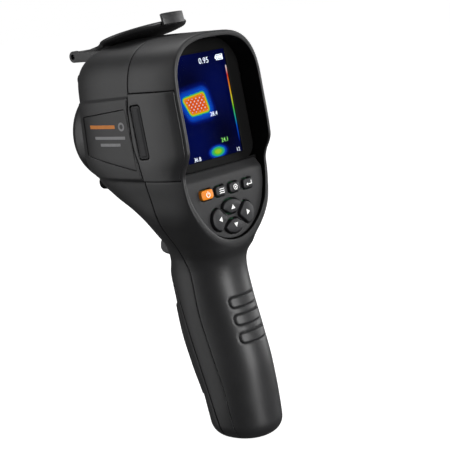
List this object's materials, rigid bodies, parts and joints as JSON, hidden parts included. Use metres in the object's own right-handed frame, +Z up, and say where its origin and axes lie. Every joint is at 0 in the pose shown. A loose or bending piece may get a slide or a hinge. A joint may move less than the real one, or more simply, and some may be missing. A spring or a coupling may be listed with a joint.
{
  "type": "thermal imaging camera",
  "caption": "Handheld thermal imaging camera with pistol grip, hooded screen, keypad, trigger and a hinged lens cover that lies open on the head.",
  "frame": {"origin": "middle of the flat underside of the grip", "axes": "+Z up along the camera's height, +Y where the lens looks, +X to the user's right"},
  "size_m": [0.079, 0.1115, 0.2392],
  "materials": {
    "housing": "satin moulded dark grey",
    "bezel": "satin black",
    "trim": "fine matte label stock",
    "lens_cover": "satin dark grey",
    "trigger": "satin black",
    "port_rubber": "soft matte",
    "power_key": "orange, softly lit from behind",
    "key_rubber": "soft matte with white marks",
    "display_glass": "clear",
    "lcd": "lit thermal picture",
    "germanium": "coated germanium",
    "camera_glass": "dark glass",
    "aluminium": "turned",
    "steel": "bright",
    "inner_plastic": "moulded",
    "circuit_board": "solder mask",
    "cell_wrap": "shrink sleeve"
  },
  "bodies": {
    "camera_body": {"front_shell": "housing", "rear_shell": "housing", "left_side_cover": "housing", "right_side_cover": "housing", "keypad_panel": "housing", "lens_bezel": "bezel", "display_bezel": "bezel", "left_label_plate": "trim", "right_label_plate": "trim", "display_window": "display_glass", "lcd_panel": "lcd", "ir_lens": "germanium", "viewing_camera_window": "camera_glass", "lens_barrel": "aluminium", "ir_detector": "aluminium", "hinge_pin": "steel", "trigger_pin": "steel", "battery_spring": "steel", "battery_contact": "steel", "usb_socket": "steel", "card_socket": "steel", "shutter_motor": "steel", "housing_screw_top_left": "steel", "housing_screw_top_right": "steel", "housing_screw_bottom_left": "steel", "housing_screw_bottom_right": "steel", "viewing_camera": "inner_plastic", "trigger_switch": "inner_plastic", "battery_holder": "inner_plastic", "main_board": "circuit_board", "keypad_board": "circuit_board", "battery_cell": "cell_wrap"},
    "lens_cover": {"lens_cover": "lens_cover"},
    "trigger": {"trigger": "trigger"},
    "port_cover": {"port_cover": "port_rubber"},
    "battery_cover": {"battery_cover": "housing"},
    "shutter_flag": {"shutter_flag": "inner_plastic"},
    "power_button": {"power_button": "power_key"},
    "menu_button": {"menu_button": "key_rubber"},
    "select_button": {"select_button": "key_rubber"},
    "enter_button": {"enter_button": "key_rubber"},
    "up_key": {"up_key": "key_rubber"},
    "left_key": {"left_key": "key_rubber"},
    "down_key": {"down_key": "key_rubber"},
    "right_key": {"right_key": "key_rubber"}
  },
  "joints": [
    {"name": "lens_cover_hinge", "type": "hinge", "parent": "camera_body", "child": "lens_cover", "pos_m": [0, 0.0905, 0.2194], "axis": [-1, 0, 0], "range_deg": [0, 258.5]},
    {"name": "trigger_pull", "type": "hinge", "parent": "camera_body", "child": "trigger", "pos_m": [0, 0.036, 0.1215], "axis": [-1, 0, 0], "range_deg": [0, 10], "stiffness_Nm_per_rad": 0.25},
    {"name": "port_cover_flap", "type": "hinge", "parent": "camera_body", "child": "port_cover", "pos_m": [-0.0385, 0.01886, 0.193], "axis": [0, 0.9962, -0.0872], "range_deg": [0, 100]},
    {"name": "battery_cover_slide", "type": "slide", "parent": "camera_body", "child": "battery_cover", "axis": [0, -0.2696, -0.963], "range_m": [0, 0.012]},
    {"name": "shutter_swing", "type": "hinge", "parent": "camera_body", "child": "shutter_flag", "pos_m": [0, 0.0564, 0.1954], "axis": [0, -1, 0], "range_deg": [0, 48]},
    {"name": "power_button_press", "type": "slide", "parent": "camera_body", "child": "power_button", "axis": [0, 0.9962, -0.0872], "range_m": [0, 0.0008], "stiffness_N_per_m": 500},
    {"name": "menu_button_press", "type": "slide", "parent": "camera_body", "child": "menu_button", "axis": [0, 0.9962, -0.0872], "range_m": [0, 0.0008], "stiffness_N_per_m": 500},
    {"name": "select_button_press", "type": "slide", "parent": "camera_body", "child": "select_button", "axis": [0, 0.9962, -0.0872], "range_m": [0, 0.0008], "stiffness_N_per_m": 500},
    {"name": "enter_button_press", "type": "slide", "parent": "camera_body", "child": "enter_button", "axis": [0, 0.9962, -0.0872], "range_m": [0, 0.0008], "stiffness_N_per_m": 500},
    {"name": "up_key_press", "type": "slide", "parent": "camera_body", "child": "up_key", "axis": [0, 0.9962, -0.0872], "range_m": [0, 0.0008], "stiffness_N_per_m": 500},
    {"name": "left_key_press", "type": "slide", "parent": "camera_body", "child": "left_key", "axis": [0, 0.9962, -0.0872], "range_m": [0, 0.0008], "stiffness_N_per_m": 500},
    {"name": "down_key_press", "type": "slide", "parent": "camera_body", "child": "down_key", "axis": [0, 0.9962, -0.0872], "range_m": [0, 0.0008], "stiffness_N_per_m": 500},
    {"name": "right_key_press", "type": "slide", "parent": "camera_body", "child": "right_key", "axis": [0, 0.9962, -0.0872], "range_m": [0, 0.0008], "stiffness_N_per_m": 500}
  ]
}
